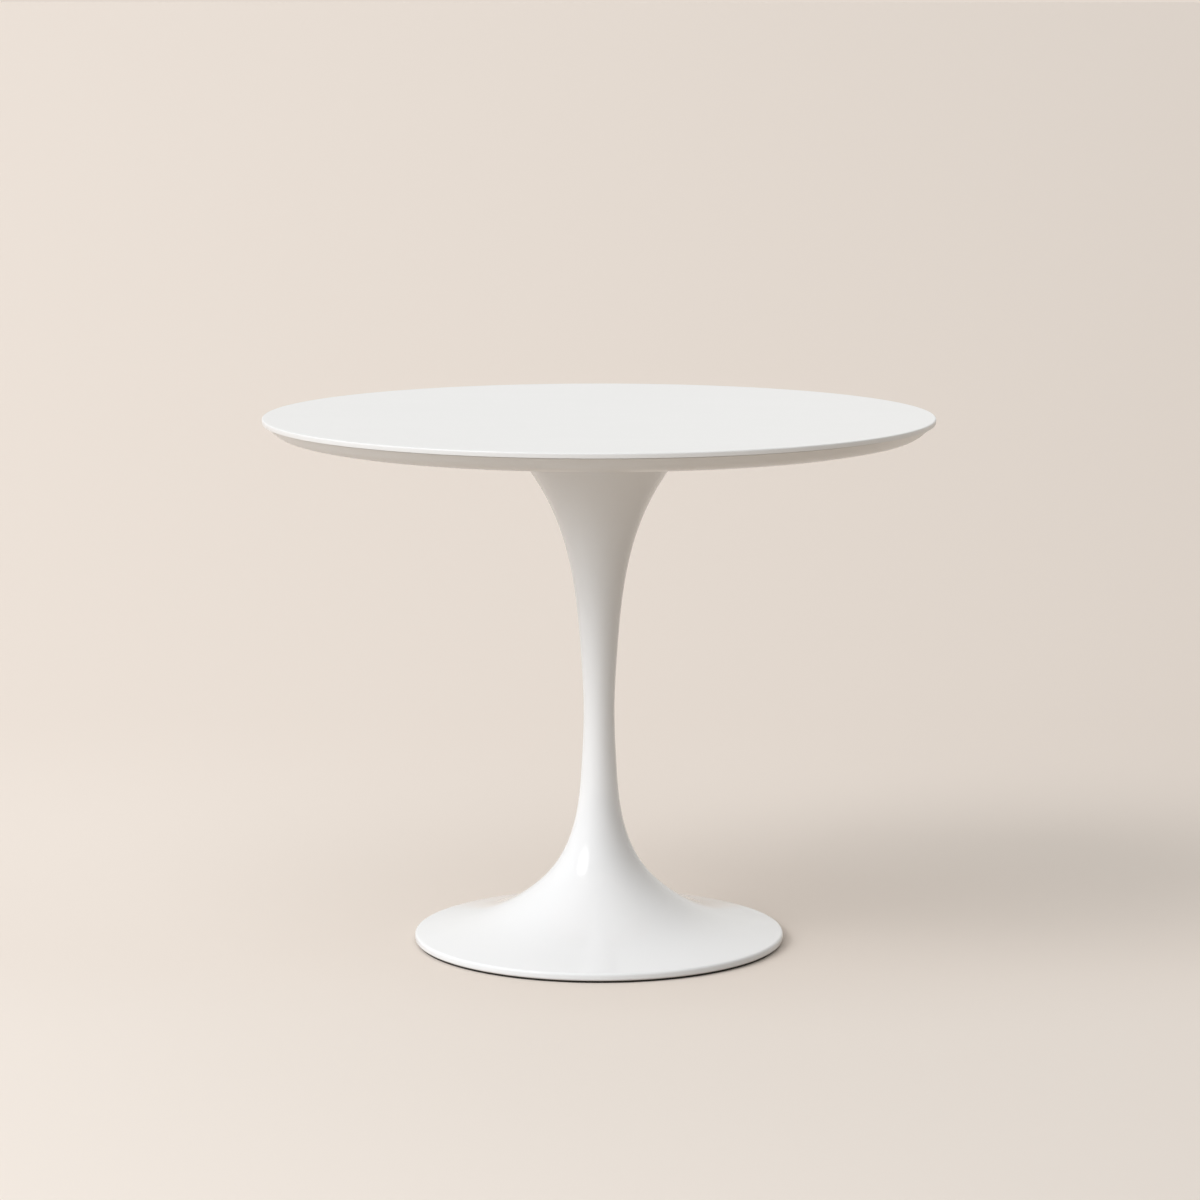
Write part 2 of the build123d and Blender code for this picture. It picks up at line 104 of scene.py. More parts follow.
# %% Sockets that do arithmetic
class Wire:
    """An output socket that adds Math nodes when it is used in a sum."""

    def __init__(self, tree, socket):
        self.tree = tree
        self.socket = socket

    def math(self, operation, first, second, clamp=False):
        node = self.tree.nodes.new("ShaderNodeMath")
        node.operation = operation
        node.use_clamp = clamp
        plug(self.tree, first, node.inputs[0])
        plug(self.tree, second, node.inputs[1])
        return Wire(self.tree, node.outputs[0])

    def __add__(self, other):
        return self.math("ADD", self, other)

    def __rsub__(self, other):
        return self.math("SUBTRACT", other, self)

    def __mul__(self, other):
        return self.math("MULTIPLY", self, other)

    def __truediv__(self, other):
        return self.math("DIVIDE", self, other)

    def __pow__(self, other):
        return self.math("POWER", self, other)

    __radd__ = __add__
    __rmul__ = __mul__

    def clamped(self):
        return self.math("ADD", self, 0, clamp=True)

    def at_least(self, lowest):
        return self.math("MAXIMUM", self, lowest)


def plug(tree, value, socket):
    """Links a wire to a socket, or sets the socket to a plain value."""
    if isinstance(value, Wire):
        tree.links.new(value.socket, socket)
    else:
        socket.default_value = value


class Network:
    """A node tree that is being written."""

    def __init__(self, tree):
        self.tree = tree

    def node(self, kind, settings=None, inputs=None, output=0):
        made = self.tree.nodes.new(kind)
        for setting, value in (settings or {}).items():
            setattr(made, setting, value)
        for socket, value in (inputs or {}).items():
            plug(self.tree, value, made.inputs[socket])
        return Wire(self.tree, made.outputs[output])

    def axes(self, vector):
        """The three parts of a vector, as wires."""
        made = self.node("ShaderNodeSeparateXYZ", {}, {0: vector}).socket.node
        return [Wire(self.tree, output) for output in made.outputs]

    def mix(self, factor, first, second):
        """A colour between two colours."""
        settings = {"data_type": "RGBA"}
        return self.node("ShaderNodeMix", settings, {0: factor, 6: first, 7: second}, output=2)


def rgb(red, green, blue):
    return (red, green, blue, 1.0)


# %% [markdown]
# ## The light
#
# Four soft lamps light a white thing on white paper without flattening it. A small one, high on
# the left, makes the window of light on the foot. A long low one on the same side models the stem
# from bright to shaded. One in front and one overhead lift the top and the foot. All are Blender
# suns with a wide angle: they act like big soft boxes far away, and don't fade across the floor.
# Only the first shows in the gloss. The others are as if behind a polarising screen.

# %% Lamps
bpy.context.scene.view_settings.view_transform = "Standard"
bpy.context.scene.view_settings.look = "None"


def soft_lamp(name, turn, rise, spread, strength, colour, mirrored=False):
    """A distant soft lamp: turn is degrees left of the front, rise is degrees above the floor."""
    lamp = bpy.data.objects.new(name, bpy.data.lights.new(name, "SUN"))
    turn, rise = math.radians(turn), math.radians(rise)
    level = math.cos(rise)
    towards = Vector((-math.sin(turn) * level, -math.cos(turn) * level, math.sin(rise)))
    lamp.rotation_euler = towards.to_track_quat("Z", "Y").to_euler()
    lamp.data.angle = math.radians(spread)
    lamp.data.energy = strength
    lamp.data.color = colour
    lamp.visible_glossy = mirrored
    bpy.context.scene.collection.objects.link(lamp)
    print(name, "strength", strength)


soft_lamp("window_lamp", 56, 41, 28, 0.58, (1.0, 0.97, 0.98), mirrored=True)
soft_lamp("low_side_lamp", 56, 18, 56, 1.42, (0.97, 1.0, 1.035))
soft_lamp("front_lamp", 30, 48, 80, 1.0, (0.93, 1.0, 1.05))
soft_lamp("overhead_lamp", 0, 90, 120, 0.84, (1.02, 0.98, 0.95))

# %% [markdown]
# ## The room
#
# The world stands for the walls and the ceiling. Its colour depends on the direction alone: nearly
# dark above and in front, pale to both sides, and brightest low on the wall behind the table,
# where the satin top picks it up. The eye itself sees paper above the horizon, as it sees paper
# below it, so that a low view shows no dark room.

# %% Room
ROOM_TONE = (1.03, 1.02, 0.99)
PAPER_SKY = rgb(0.78, 0.70, 0.63)
CEILING_GLOW = 0.04
SIDE_GLOW = 0.27
WALL_GLOW = 0.42
WALL_FOOT_GLOW = 0.38
WALL_FOOT_FOCUS = 6

world = bpy.data.worlds.new("room")
world.use_nodes = True
room = Network(world.node_tree)
to_right, to_back, upwards = room.axes(room.node("ShaderNodeTexCoord", output="Generated"))
to_sides = (to_right * to_right) ** 0.5
wall = to_back.clamped()
wall_foot = (0.94 * to_back + 0.34 * upwards).clamped() ** WALL_FOOT_FOCUS
glow = CEILING_GLOW + SIDE_GLOW * to_sides + WALL_GLOW * wall + WALL_FOOT_GLOW * wall_foot
walls = room.node("ShaderNodeVectorMath", {"operation": "SCALE"}, {0: ROOM_TONE, "Scale": glow})
seen = room.node("ShaderNodeLightPath")
plug(room.tree, room.mix(seen, walls, PAPER_SKY), room.tree.nodes["Background"].inputs["Color"])
bpy.context.scene.world = world
print("room nodes", len(room.tree.nodes))

# %% [markdown]
# ## Finishes
#
# A finish adds a Principled shader to the network, and the piece's own coordinates. Those are
# Object coordinates: they stay with the piece when it moves, and they are in metres, so that a
# pattern's size is simply its real size.


# %% Finish helper
class Finish(Network):
    """A material in the making."""

    def __init__(self, name, **shader_values):
        self.material = bpy.data.materials.new(name)
        self.material.use_nodes = True
        super().__init__(self.material.node_tree)
        self.shader = self.tree.nodes["Principled BSDF"]
        self.place = self.node("ShaderNodeTexCoord", output="Object")
        for socket, value in shader_values.items():
            self.set(socket.replace("_", " "), value)

    def set(self, socket, value):
        plug(self.tree, value, self.shader.inputs[socket])

    def noise(self, size, detail=2.0, roughness=0.5, stretch=(1, 1, 1)):
        """Cloudy noise from 0 to 1, with clouds of that size in metres."""
        place = self.node("ShaderNodeMapping", {}, {"Vector": self.place, "Scale": stretch})
        sockets = {"Vector": place, "Scale": 1 / size, "Detail": detail, "Roughness": roughness}
        return self.node("ShaderNodeTexNoise", {}, sockets)

    def contrast(self, value, low, high):
        """Stretches the part of a value between low and high to 0 and 1."""
        sockets = {"Value": value, "From Min": low, "From Max": high}
        return self.node("ShaderNodeMapRange", {"interpolation_type": "SMOOTHSTEP"}, sockets)

    def bump(self, height, depth):
        """Surface relief of that depth in metres, from a height between 0 and 1."""
        self.set("Normal", self.node("ShaderNodeBump", {}, {"Height": height, "Distance": depth}))


# %% [markdown]
# ## The floor
#
# Seamless studio paper runs from under the table to far behind it. Here it is one very large disc,
# so that no edge or corner of a room shows from any side. Its colour holds painted light and shade:
# lighter on the left and darker on the right, and darker in two steps towards the back, as light
# falling off away from the lamps would leave it. In a studio, dark cloth outside the frame would
# keep warm light from bouncing into the stem's shaded side. The paper does that here by being
# darker to bounced light than to the eye. It is seen from above only: from below it lets the eye
# through, so that the table is not hidden.

# %% Floor
FLOOR_RADIUS = 3000.0
FLOOR_SIDES = 96
PAPER_NEAR = rgb(0.805, 0.733, 0.667)
# Painted shade: the far colour is the paper's own colour darkened, standing in for less light.
PAPER_FAR_PAINTED_SHADE = rgb(0.758, 0.677, 0.608)
PAPER_BOUNCE = rgb(0.46, 0.395, 0.33)
FALL_REACH = 5.4
FALL_SPREAD = 2.9
# Painted light and shade: factors that lighten the paper on the left and darken it on the right.
PAINTED_LIGHT_LEFT = 1.095
PAINTED_SHADE_RIGHT = 0.905

paper = Finish("studio_paper", Roughness=0.9)
paper.set("Specular IOR Level", 0.1)
across, away, _ = paper.axes(paper.place)
# Painted shade towards the back, in two soft steps.
near_step = paper.contrast(away, low=-0.6, high=0.0)
far_step = paper.contrast(away, low=0.6, high=1.8)
behind = 0.5 * near_step + 0.5 * far_step
# Painted falloff: the left-to-right factor spreads as a wedge from the front.
reach = (away + FALL_REACH).at_least(1.0)
side = (0.5 + FALL_SPREAD * (across / reach)).clamped()
painted_falloff = PAINTED_LIGHT_LEFT - (PAINTED_LIGHT_LEFT - PAINTED_SHADE_RIGHT) * side
# The paper's colour with its painted shade.
paper_with_painted_shade = paper.mix(behind, PAPER_NEAR, PAPER_FAR_PAINTED_SHADE)
paper_with_painted_shade = paper.node("ShaderNodeVectorMath", {"operation": "SCALE"}, {0: paper_with_painted_shade, "Scale": painted_falloff})
bounced = paper.node("ShaderNodeLightPath", output="Is Diffuse Ray")
paper.set("Base Color", paper.mix(bounced, paper_with_painted_shade, PAPER_BOUNCE))
clear = paper.node("ShaderNodeBsdfTransparent")
back = paper.node("ShaderNodeNewGeometry", output="Backfacing")
lit = Wire(paper.tree, paper.shader.outputs[0])
one_sided = paper.node("ShaderNodeMixShader", {}, {0: back, 1: lit, 2: clear})
plug(paper.tree, one_sided, paper.tree.nodes["Material Output"].inputs["Surface"])

floor_mesh = bmesh.new()
bmesh.ops.create_circle(floor_mesh, cap_ends=True, segments=FLOOR_SIDES, radius=FLOOR_RADIUS)
floor = bpy.data.objects.new("floor", bpy.data.meshes.new("floor"))
floor_mesh.to_mesh(floor.data)
floor_mesh.free()
floor.data.materials.append(paper.material)
bpy.context.scene.collection.objects.link(floor)
floor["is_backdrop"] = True
print("floor faces", len(floor.data.polygons), "normal", floor.data.polygons[0].normal[:])

# %% [markdown]
# ## Outlines of turned parts
#
# The top, the casting and the rubber ring are all turned shapes: one outline, swept once round the
# upright axis. Blender's spin does the sweep, so the work is in the outline. The first helper
# rounds the corners of a polygon with true arcs. It leaves a guard point beside each arc, so that
# smooth shading stays within the arc and the flats stay flat.

# %% Rounded outline
GUARD = 0.4 * MM


def rounded(corners, steps=6):
    """Points of an open outline, given as (radius, height, rounding) corners."""
    points = []
    for index, (radius, height, rounding) in enumerate(corners):
        here = Vector((radius, height))
        if rounding == 0:
            points.append(here)
            continue
        before = (Vector(corners[index - 1][:2]) - here).normalized()
        after = (Vector(corners[index + 1][:2]) - here).normalized()
        half = before.angle(after) / 2
        reach = rounding / math.tan(half)
        centre = here + (before + after).normalized() * rounding / math.sin(half)
        spoke = here + before * reach - centre
        turn = math.pi - 2 * half
        if before.cross(after) > 0:
            turn = -turn
        points.append(here + before * (reach + GUARD))
        for step in range(steps + 1):
            points.append(centre + Matrix.Rotation(turn * step / steps, 2) @ spoke)
        points.append(here + after * (reach + GUARD))
    return points


# %% [markdown]
# The second helper draws a smooth spline through a few points, which is how the trumpet of the
# pedestal is defined. It is the natural cubic spline that draughting programs use, stepped evenly
# along its length.


# %% Smooth outline
def smooth_through(points, count):
    """Evenly spaced points on a natural cubic spline through the given points."""
    knots = np.array(points, float)
    spans = np.linalg.norm(np.diff(knots, axis=0), axis=1)
    along = np.concatenate([[0], np.cumsum(spans)])
    system = np.eye(len(knots))
    slopes = np.zeros_like(knots)
    for row in range(1, len(knots) - 1):
        left, right = spans[row - 1], spans[row]
        system[row, row - 1 : row + 2] = left, 2 * (left + right), right
        rise_after = (knots[row + 1] - knots[row]) / right
        rise_before = (knots[row] - knots[row - 1]) / left
        slopes[row] = 6 * (rise_after - rise_before)
    bends = np.linalg.solve(system, slopes)
    curve = []
    for distance in np.linspace(0, along[-1], count):
        span = min(np.searchsorted(along, distance, side="right") - 1, len(spans) - 1)
        width = spans[span]
        second = (distance - along[span]) / width
        first = 1 - second
        sag = (first**3 - first) * bends[span] + (second**3 - second) * bends[span + 1]
        curve.append(Vector(first * knots[span] + second * knots[span + 1] + sag * width**2 / 6))
    return curve


# %% [markdown]
# The sweep itself, and the last steps that every turned piece shares. Doubled points at the poles
# are merged before the normals are recalculated, or the shading would pinch there. Edges with a
# real corner are marked sharp, and all the rest is shaded smooth.

# %% Spin and finish
WELD = 1e-6
SHARP = math.radians(25)
LITRE_THOUSANDTHS = 1e6  # in a cubic metre


def turned(mesh, outline, steps, centre=(0, 0)):
    """Sweeps an outline once round an upright axis, inside an open bmesh."""
    x, y = centre
    points = [mesh.verts.new((x + radius, y, height)) for radius, height in outline]
    edges = [mesh.edges.new(pair) for pair in zip(points, points[1:])]
    bmesh.ops.spin(
        mesh,
        geom=points + edges,
        cent=(x, y, 0),
        axis=(0, 0, 1),
        angle=2 * math.pi,
        steps=steps,
        use_merge=True,
        use_duplicate=False,
    )


def piece_from(mesh, name, finish, node):
    """Closes a bmesh and makes it the piece that stands for a CAD node."""
    bmesh.ops.remove_doubles(mesh, verts=mesh.verts, dist=WELD)
    bmesh.ops.recalc_face_normals(mesh, faces=mesh.faces)
    for face in mesh.faces:
        face.smooth = True
    open_edges = 0
    for edge in mesh.edges:
        if not edge.is_manifold:
            open_edges += 1
        elif edge.calc_face_angle() > SHARP:
            edge.smooth = False
    volume = round(mesh.calc_volume() * LITRE_THOUSANDTHS)
    print(name, len(mesh.faces), "faces,", open_edges, "open edges,", volume, "ml")
    piece = bpy.data.objects.new(name, bpy.data.meshes.new(name))
    mesh.to_mesh(piece.data)
    mesh.free()
    piece.data.materials.append(finish.material)
    bpy.context.scene.collection.objects.link(piece)
    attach(piece, "table")
    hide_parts(node)


# %% [markdown]
# ## White lacquer for the top
#
# The real top is fibreboard, sprayed with a satin white lacquer and baked. Sprayed lacquer is never
# a mirror: it dries with a faint orange peel a few millimetres across and only microns deep. Years
# of wiping leave hair-fine scratches, which show as small changes of gloss and not of colour.

# %% Top lacquer
lacquer = Finish("white_lacquer", IOR=1.5)
clouds = lacquer.noise(size=0.25, detail=3)
lacquer_whites = rgb(0.83, 0.825, 0.815), rgb(0.85, 0.845, 0.835)
lacquer.set("Base Color", lacquer.mix(clouds, *lacquer_whites))
wiping = lacquer.noise(size=0.03, detail=4, roughness=0.6, stretch=(0.3, 1, 1))
lacquer.set("Roughness", 0.26 + 0.1 * wiping)
lacquer.bump(lacquer.noise(size=0.004, detail=1), depth=0.000015)
print("lacquer nodes", len(lacquer.tree.nodes))

# %% [markdown]
# ## The top
#
# The edge is what makes this top look thin: a short upright lip, and then an underside that slopes
# away in two steps, so that the full thickness never shows at the edge. The lip hangs over the
# slope, with a shadow gap less than a millimetre high between them, which reads as a hairline. The
# outline runs from the centre of the face round the edge to the centre of the underside. Two extra
# points on the flats keep the long thin triangles at the centre away from the rounded edge.

# %% Turn the top
TOP_STEPS = 288
LIP_HEIGHT = 7.0 * MM
LIP_DRAFT = 0.4 * MM
LIP_OVERHANG = 3.6 * MM
GAP_HEIGHT = 0.8 * MM
GAP_DEPTH = 2.0 * MM
LIP_ROUND = 2.0 * MM
KNEE_RADIUS = 434.8 * MM
KNEE_DROP = 24.2 * MM
FLAT_RADIUS = 403.5 * MM
BEVEL_BLEND = 45.0 * MM
ARRIS = 0.3 * MM
LIP_LAND = 1.0 * MM
FACE_RADIUS = 397.0 * MM
UNDERSIDE_RADIUS = 120.0 * MM

top_low, top_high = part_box("tabletop")
top_radius, face, underside = top_high.x, top_high.z, top_low.z
bevel_radius = top_radius - LIP_DRAFT - LIP_OVERHANG
top_outline = [
    (0, face, 0),
    (FACE_RADIUS, face, 0),
    (top_radius, face, LIP_ROUND),
    (top_radius, face - LIP_ROUND - LIP_LAND, 0),
    (top_radius - LIP_DRAFT, face - LIP_HEIGHT, ARRIS),
    (bevel_radius - GAP_DEPTH, face - LIP_HEIGHT, 0),
    (bevel_radius - GAP_DEPTH, face - LIP_HEIGHT - GAP_HEIGHT, 0),
    (bevel_radius, face - LIP_HEIGHT - GAP_HEIGHT, 0),
    (KNEE_RADIUS, face - KNEE_DROP, BEVEL_BLEND),
    (FLAT_RADIUS, underside, BEVEL_BLEND),
    (UNDERSIDE_RADIUS, underside, 0),
    (0, underside, 0),
]
top_mesh = bmesh.new()
turned(top_mesh, rounded(top_outline), TOP_STEPS)
piece_from(top_mesh, "lacquered_top", lacquer, "tabletop")

# %% [markdown]
# ## Gloss coat for the casting
#
# The pedestal is cast aluminium with a thick glossy white coat. The coat flows a little before it
# sets, so it is smoother than the top's lacquer, and a lamp shows in it as a clear shape with
# softly waving edges. The gloss is a touch duller in patches, where hands and shoes have passed.

# %% Pedestal coat
coat = Finish("white_gloss_coat", IOR=1.5)
clouds = coat.noise(size=0.2, detail=3)
coat_whites = rgb(0.86, 0.863, 0.866), rgb(0.88, 0.883, 0.886)
coat.set("Base Color", coat.mix(clouds, *coat_whites))
coat.set("Roughness", 0.05 + 0.05 * coat.noise(size=0.04, detail=4, roughness=0.6))
coat.bump(coat.noise(size=0.006, detail=1), depth=0.000015)
print("coat nodes", len(coat.tree.nodes))

# %% [markdown]
# ## The pedestal
#
# Foot, stem and flare are one hollow casting. Its skin is a spline through thirteen points, from
# the flare's rim down to the edge of the foot, and the core follows it one wall thickness inside.
# A web closes the stem where the tie rod passes through it. The points are in millimetres, as on
# the drawing, and only the finished curves are turned into metres.

# %% Outline of the casting
SKIN = [
    (95.3, 655.0),
    (63.9, 600.0),
    (35.2, 500.0),
    (24.8, 400.0),
    (21.3, 322.0),
    (23.9, 250.0),
    (35.8, 160.0),
    (61.6, 105.0),
    (98.4, 68.7),
    (151.5, 38.3),
    (210.0, 21.6),
]
UPPER_CORE = [
    (89.3, 658.8),
    (57.5, 603.0),
    (28.3, 501.0),
    (17.8, 400.0),
    (14.3, 322.0),
    (16.9, 250.0),
]
WEB_TOP = (26.8, 166.0)
WEB_UNDERSIDE = (29.1, 152.0)
FOOT_CORE = [
    (55.6, 101.0),
    (93.7, 63.0),
    (149.0, 31.5),
    (184.0, 20.0),
]
FLARE_RADIUS = 127.5
RIM_LAND = 8.0
FOOT_EDGE_HEIGHT = 12.8
SKIN_POINTS = 160
UPPER_CORE_POINTS = 60
FOOT_CORE_POINTS = 24
ROD_HOLE = 6.7 * MM
RIM_ROUND = 4.0 * MM
RIM_FOOT_ROUND = 3.0 * MM
LEDGE_RADIUS = 196.0 * MM
LEDGE_HEIGHT = 5.0 * MM
GROOVE_INNER = 242.0 * MM
GROOVE_OUTER = 247.0 * MM
GROOVE_TOP = 7.0 * MM

foot_low, foot_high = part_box("pedestal")
foot_radius, flare_top, foot_base = foot_high.x, foot_high.z, foot_low.z
skin_points = [(FLARE_RADIUS, flare_top / MM), *SKIN, (foot_radius / MM, FOOT_EDGE_HEIGHT)]
skin = [point * MM for point in smooth_through(skin_points, SKIN_POINTS)]
land = (FLARE_RADIUS - RIM_LAND, flare_top / MM)
upper_points = [land, *UPPER_CORE, WEB_TOP]
upper_core = [point * MM for point in smooth_through(upper_points, UPPER_CORE_POINTS)]
foot_points = [WEB_UNDERSIDE, *FOOT_CORE]
foot_core = [point * MM for point in smooth_through(foot_points, FOOT_CORE_POINTS)]
print("skin", len(skin), "points, cores", len(upper_core), "and", len(foot_core))

# %% [markdown]
# ## The foot's underside
#
# Under the foot there are a groove for the rubber ring, a ledge for the cover, and four round wells
# for the levelling glides. The wells break the turned shape. So the outline stops on both sides of
# that flat, and the flat is filled afterwards with triangles that leave the wells open.

# %% Turn the casting
CASTING_STEPS = 224
RIM_ZONE = 7.0 * MM

rim_start = next(index for index, point in enumerate(skin) if point.x > foot_radius - RIM_ZONE)
rim = rounded(
    [
        (*skin[rim_start], 0),
        (*skin[-1], RIM_ROUND),
        (foot_radius, foot_base, RIM_FOOT_ROUND),
        (GROOVE_OUTER, foot_base, 0),
    ]
)
casting_outline = [
    (LEDGE_RADIUS, foot_base),
    (LEDGE_RADIUS, LEDGE_HEIGHT),
    (FOOT_CORE[-1][0] * MM, LEDGE_HEIGHT),
    *reversed(foot_core),
    (ROD_HOLE, WEB_UNDERSIDE[1] * MM),
    (ROD_HOLE, WEB_TOP[1] * MM),
    *reversed(upper_core),
    *skin[:rim_start],
    *rim,
    (GROOVE_OUTER, GROOVE_TOP),
    (GROOVE_INNER, GROOVE_TOP),
    (GROOVE_INNER, foot_base),
]
casting = bmesh.new()
turned(casting, casting_outline, CASTING_STEPS)
print("casting outline", len(casting_outline), "points")

# %% [markdown]
# Each well is a circle in the flat, pulled up into the foot: first the wide recess for the pad,
# then the narrow hole for its threaded stud. Triangle fill takes all the open circles at once and
# sees the wells as holes.

# %% Wells for the glides
WELL_STEPS = 48
WELL_RADIUS = 13.5 * MM
WELL_TOP = 7.0 * MM
STUD_HOLE_RADIUS = 4.08 * MM
STUD_HOLE_TOP = 16.2 * MM


def glide_centre(number):
    """Where a glide stands, as an upright axis."""
    low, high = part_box(f"glide_stud_{number}")
    return Matrix.Translation(((low.x + high.x) / 2, (low.y + high.y) / 2, 0))


def circle_at(mesh, axis, radius, height, steps):
    """A bare circle of edges round an upright axis."""
    place = axis @ Matrix.Translation((0, 0, height))
    made = bmesh.ops.create_circle(mesh, segments=steps, radius=radius, matrix=place)
    return list({edge for vert in made["verts"] for edge in vert.link_edges})


def pulled_up(mesh, edges, rise):
    """Extrudes a circle of edges upwards into a wall, and returns its upper circle."""
    made = bmesh.ops.extrude_edge_only(mesh, edges=edges)["geom"]
    upper = [vert for vert in made if isinstance(vert, bmesh.types.BMVert)]
    bmesh.ops.translate(mesh, verts=upper, vec=(0, 0, rise))
    return [edge for edge in made if isinstance(edge, bmesh.types.BMEdge)]


bmesh.ops.remove_doubles(casting, verts=casting.verts, dist=WELD)
flat_edges = [edge for edge in casting.edges if edge.is_boundary]
glide_axes = [glide_centre(number) for number in (1, 2, 3, 4)]
well_mouths = [circle_at(casting, axis, WELL_RADIUS, foot_base, WELL_STEPS) for axis in glide_axes]
mouth_edges = [edge for mouth in well_mouths for edge in mouth]
bmesh.ops.triangle_fill(casting, edges=flat_edges + mouth_edges, use_beauty=True, normal=(0, 0, -1))
for axis, mouth in zip(glide_axes, well_mouths):
    recess = pulled_up(casting, mouth, WELL_TOP - foot_base)
    hole = circle_at(casting, axis, STUD_HOLE_RADIUS, WELL_TOP, WELL_STEPS)
    bmesh.ops.bridge_loops(casting, edges=recess + hole)
    end = pulled_up(casting, hole, STUD_HOLE_TOP - WELL_TOP)
    bmesh.ops.edgeloop_fill(casting, edges=end)
open_edges = [edge for edge in casting.edges if edge.is_boundary]
print("wells", len(glide_axes), "open edges", len(open_edges))

# %% [markdown]
# Inside the foot four round bosses hang from the wall, tapped for the bolts of the iron ring. They
# are turned too, each round its own axis, with the upper end at a height far above the casting.
# Every point at that height is then lowered into the middle of the wall, so that each boss ends
# inside it.

# %% Bosses
BOSSES = 4
BOSS_STEPS = 32
BOSS_PARKED = 1.0
BOSS_RADIUS = 9.0 * MM
BOSS_BASE = 50.0 * MM
BOSS_HOLE_TOP = 63.0 * MM
BOLT_RADIUS = 4.0 * MM
BOLT_CIRCLE = 84.0 * MM
HALF_WALL = 3.5 * MM
FOOT_TOP = 200.0 * MM

foot_skin = np.array(sorted(tuple(point) for point in skin if point.y < FOOT_TOP))
for number in range(BOSSES):
    turn = number * 2 * math.pi / BOSSES
    centre = (BOLT_CIRCLE * math.cos(turn), BOLT_CIRCLE * math.sin(turn))
    boss_outline = [
        (0, BOSS_HOLE_TOP),
        (BOLT_RADIUS, BOSS_HOLE_TOP),
        (BOLT_RADIUS, BOSS_BASE),
        (BOSS_RADIUS, BOSS_BASE),
        (BOSS_RADIUS, BOSS_PARKED),
        (0, BOSS_PARKED),
    ]
    turned(casting, boss_outline, BOSS_STEPS, centre)
for vert in casting.verts:
    if math.isclose(vert.co.z, BOSS_PARKED, abs_tol=WELD):
        radius = math.hypot(vert.co.x, vert.co.y)
        vert.co.z = np.interp(radius, foot_skin[:, 0], foot_skin[:, 1]) - HALF_WALL
piece_from(casting, "cast_pedestal", coat, "pedestal")

# %% [markdown]
# ## Black rubber
#
# The ring that keeps metal off the floor is plain black rubber. Moulded rubber is never quite
# black: a dry bloom greys it in patches, and dust sticks to it near the floor.

# %% Rubber ring
RING_STEPS = 224
RING_INNER = 238.0 * MM
RING_EDGE_ROUND = 0.8 * MM

rubber = Finish("black_rubber", IOR=1.5)
bloom = rubber.contrast(rubber.noise(size=0.02, detail=4, roughness=0.6), low=0.35, high=0.8)
rubber.set("Base Color", rubber.mix(bloom, rgb(0.022, 0.019, 0.016), rgb(0.045, 0.04, 0.034)))
rubber.set("Roughness", 0.6 + 0.2 * bloom)
rubber.bump(rubber.noise(size=0.0008, detail=2), depth=0.00003)

ring_low, ring_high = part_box("floor_ring")
ring_outline = [
    (RING_INNER, foot_base, 0),
    (RING_INNER, ring_low.z, RING_EDGE_ROUND),
    (ring_high.x, ring_low.z, RING_EDGE_ROUND),
    (ring_high.x, foot_base, 0),
    (GROOVE_OUTER, foot_base, 0),
    (GROOVE_OUTER, ring_high.z, 0),
    (GROOVE_INNER, ring_high.z, 0),
    (GROOVE_INNER, foot_base, 0),
    (RING_INNER, foot_base, 0),
]
ring_mesh = bmesh.new()
turned(ring_mesh, rounded(ring_outline), RING_STEPS)
piece_from(ring_mesh, "rubber_ring", rubber, "floor_ring")

# %% [markdown]
# ## Finishes for the ironmongery
#
# The other pieces keep their engineering shape and only need a finish. Screws, rods and washers
# are zinc-plated steel, which is bluish and mottled, with fine lines from drawing and rolling. One
# mottle drives both colour and gloss, since the dull crystals are also the pale ones.

# %% Zinc-plated steel
zinc = Finish("zinc_plated_steel", Metallic=1.0)
mottle = zinc.noise(size=0.004, detail=3, roughness=0.6)
zinc.set("Base Color", zinc.mix(mottle, rgb(0.48, 0.49, 0.52), rgb(0.66, 0.67, 0.69)))
zinc.set("Roughness", 0.28 + 0.2 * mottle)
zinc.bump(zinc.noise(size=0.0006, detail=2, stretch=(1, 1, 6)), depth=0.00002)
print("zinc nodes", len(zinc.tree.nodes))

# %% [markdown]
# The mounting plate and the cover under the foot are sheet steel with a black powder coat. The
# powder melts in the oven without quite levelling, which leaves a fine wrinkle.

# %% Black steel
black_steel = Finish("black_powder_coat", IOR=1.5)
clouds = black_steel.noise(size=0.03, detail=4)
steel_blacks = rgb(0.02, 0.02, 0.021), rgb(0.034, 0.033, 0.032)
black_steel.set("Base Color", black_steel.mix(clouds, *steel_blacks))
black_steel.set("Roughness", 0.45 + 0.2 * black_steel.noise(size=0.01, detail=3))
black_steel.bump(black_steel.noise(size=0.0007, detail=2), depth=0.00006)
print("black steel nodes", len(black_steel.tree.nodes))

# %% [markdown]
# The ballast ring is bare cast iron, coarse from the sand mould. Rust starts in patches, so a
# noise is stretched until only its peaks are left, and they turn the iron brown and dull.

# %% Cast iron
iron = Finish("cast_iron", Metallic=0.6)
rust = iron.contrast(iron.noise(size=0.012, detail=5, roughness=0.65), low=0.55, high=0.75)
iron.set("Base Color", iron.mix(rust, rgb(0.07, 0.068, 0.066), rgb(0.16, 0.075, 0.04)))
iron.set("Roughness", 0.6 + 0.3 * rust)
iron.bump(iron.noise(size=0.0015, detail=4), depth=0.0002)
print("iron nodes", len(iron.tree.nodes))

# %% [markdown]
# The gasket between flare and top is pressed grey felt. Its fibres are finer than a millimetre and
# show as relief and as light and dark at once, so one noise makes both.

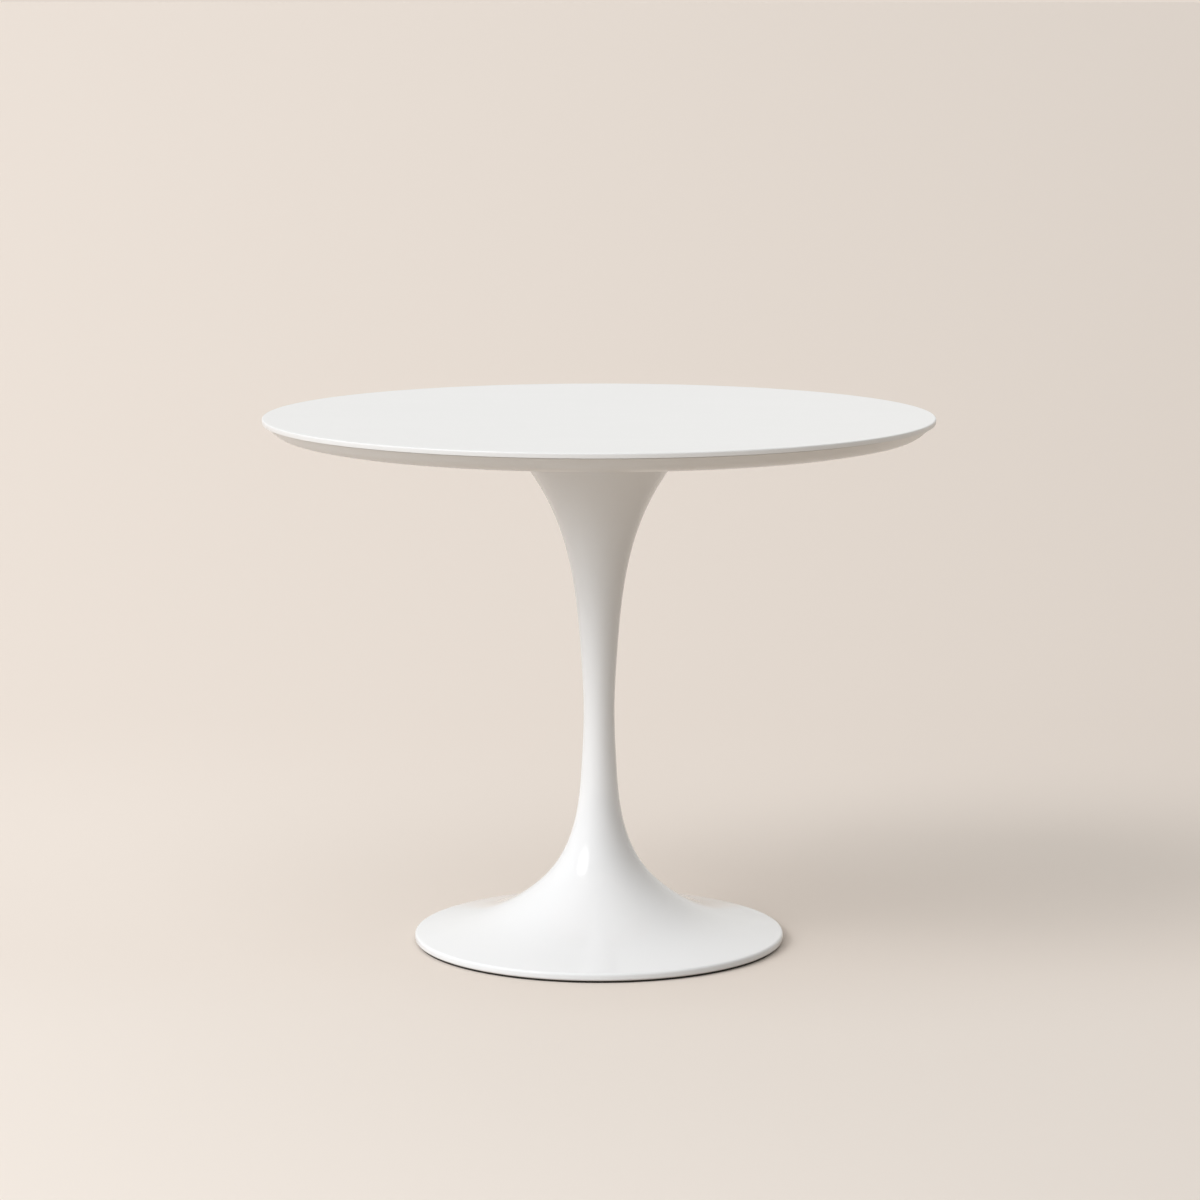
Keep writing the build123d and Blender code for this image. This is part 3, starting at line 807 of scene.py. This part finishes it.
# %% Felt
felt = Finish("grey_felt", Roughness=1.0)
fibres = felt.noise(size=0.0006, detail=4, roughness=0.7)
felt.set("Base Color", felt.mix(fibres, rgb(0.10, 0.10, 0.10), rgb(0.3, 0.29, 0.28)))
felt.bump(fibres, depth=0.0002)
print("felt nodes", len(felt.tree.nodes))

# %% [markdown]
# The pads of the glides are moulded black plastic. The steel mould is spark-eroded, which gives
# the plastic its even grain, and dragging over the floor scuffs it grey.

# %% Glide plastic
plastic = Finish("black_moulded_plastic", IOR=1.46)
scuffs = plastic.contrast(plastic.noise(size=0.003, detail=4, roughness=0.6), low=0.45, high=0.75)
plastic.set("Base Color", plastic.mix(scuffs, rgb(0.025, 0.025, 0.026), rgb(0.07, 0.068, 0.065)))
plastic.set("Roughness", 0.4 + 0.25 * scuffs)
plastic.bump(plastic.noise(size=0.0005, detail=2), depth=0.00003)
print("plastic nodes", len(plastic.tree.nodes))

# %% [markdown]
# ## Hand out the finishes
#
# A CAD node is never moved or reshaped. Its finish is changed by putting a material in its slots.

# %% Finishes for CAD nodes
FINISHES = {
    zinc: [
        "top_inserts",
        "plate_screws",
        "threaded_hub",
        "tie_rod",
        "wide_washer",
        "lock_washer",
        "tie_nut",
        "ballast_washers",
        "ballast_bolts",
        "cover_screws",
        "glide_stud_1",
        "glide_stud_2",
        "glide_stud_3",
        "glide_stud_4",
    ],
    black_steel: ["mounting_plate", "base_cover"],
    iron: ["ballast_ring"],
    felt: ["rim_gasket"],
    plastic: ["glide_pad_1", "glide_pad_2", "glide_pad_3", "glide_pad_4"],
}
for finish, names in FINISHES.items():
    for name in names:
        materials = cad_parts[name].data.materials
        materials.clear()
        materials.append(finish.material)
    print(finish.material.name, "on", len(names), "nodes")

# %% [markdown]
# ## The size
# The looks never change the size: the box of the visible pieces is written beside the CAD box,
# and the two should agree. The last line applies the frame's own checks.

# %% Size
visual_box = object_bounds()
boxes = [[list(corner) for corner in box] for box in (cad_box, visual_box)]
for name, box in zip(("CAD", "visual"), boxes):
    print(name, "box", [[round(part, 4) for part in corner] for corner in box])
